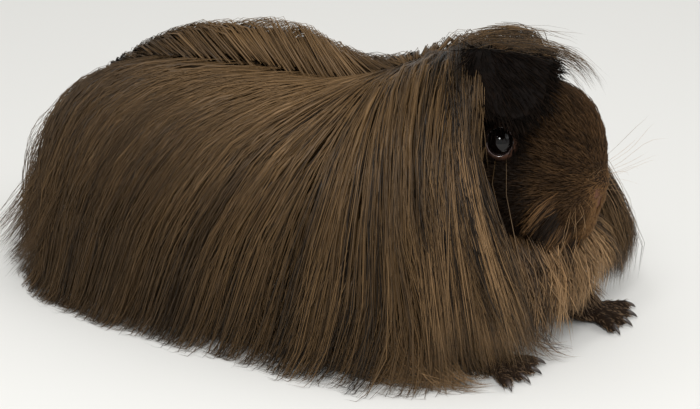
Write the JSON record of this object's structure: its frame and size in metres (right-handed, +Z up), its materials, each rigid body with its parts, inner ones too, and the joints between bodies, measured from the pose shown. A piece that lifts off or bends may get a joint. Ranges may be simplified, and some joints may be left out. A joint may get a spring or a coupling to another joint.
{
  "type": "long-haired guinea pig, still life-size model",
  "caption": "Still life-size model of a long-haired brown guinea pig at rest, its silky coat parted along the spine and falling to the floor.",
  "frame": {"origin": "centre of the footprint, on the floor that the animal sits on", "axes": "-Y is the way it faces, +X is its left side, +Z is up"},
  "size_m": [0.1408, 0.251, 0.1181],
  "materials": {
    "coat_hair": "long silky chocolate-brown hair with lighter strands",
    "face_fur": "short dense dark-brown fur",
    "ear_skin": "thin, nearly bare dark skin",
    "eye_gloss": "wet, glossy, near black",
    "foot_fur": "dark skin under sparse short hair",
    "claw_horn": "smooth dark horn"
  },
  "bodies": {
    "root": {"head": "face_fur", "neck": "coat_hair", "trunk": "coat_hair", "rump": "coat_hair", "sweep_breast_left": "coat_hair", "sweep_breast_right": "coat_hair", "sweep_flank_left": "coat_hair", "sweep_flank_right": "coat_hair", "sweep_train": "coat_hair", "ear_left": "ear_skin", "ear_right": "ear_skin", "eye_left": "eye_gloss", "eye_right": "eye_gloss", "foreleg_left": "foot_fur", "foreleg_right": "foot_fur", "hindleg_left": "foot_fur", "hindleg_right": "foot_fur", "claw_foreleg_left_1": "claw_horn", "claw_foreleg_left_2": "claw_horn", "claw_foreleg_left_3": "claw_horn", "claw_foreleg_left_4": "claw_horn", "claw_foreleg_right_1": "claw_horn", "claw_foreleg_right_2": "claw_horn", "claw_foreleg_right_3": "claw_horn", "claw_foreleg_right_4": "claw_horn", "claw_hindleg_left_1": "claw_horn", "claw_hindleg_left_2": "claw_horn", "claw_hindleg_left_3": "claw_horn", "claw_hindleg_right_1": "claw_horn", "claw_hindleg_right_2": "claw_horn", "claw_hindleg_right_3": "claw_horn"}
  },
  "joints": []
}
